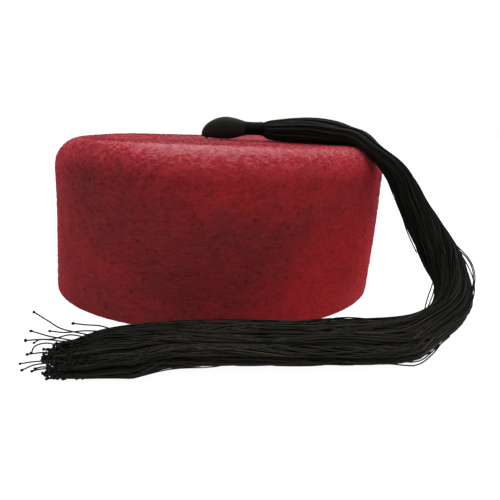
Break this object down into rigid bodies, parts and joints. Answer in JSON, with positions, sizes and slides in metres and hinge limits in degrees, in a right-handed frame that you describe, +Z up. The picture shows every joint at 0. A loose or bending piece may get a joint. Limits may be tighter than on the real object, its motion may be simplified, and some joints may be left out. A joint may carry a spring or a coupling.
{
  "type": "fez hat with tassel",
  "caption": "Stiff felt fez with straight walls and a round top edge, open below, with a long black thread tassel tied through its top and lying round its front.",
  "frame": {"origin": "middle of the part's footprint, on the surface that the rim rests on", "axes": "+Z up through the crown, +X to the side that the tassel falls on, -Y to the front"},
  "size_m": [0.2104, 0.2362, 0.0965],
  "materials": {
    "felt": "dark red wool felt with a short raised nap",
    "thread": "black spun thread with a soft sheen",
    "binding": "black thread wound close",
    "tie_cord": "grey brown thread cord"
  },
  "bodies": {
    "root": {"crown": "felt", "tassel": "thread", "neck_binding": "binding", "tassel_tie": "tie_cord"}
  },
  "joints": []
}
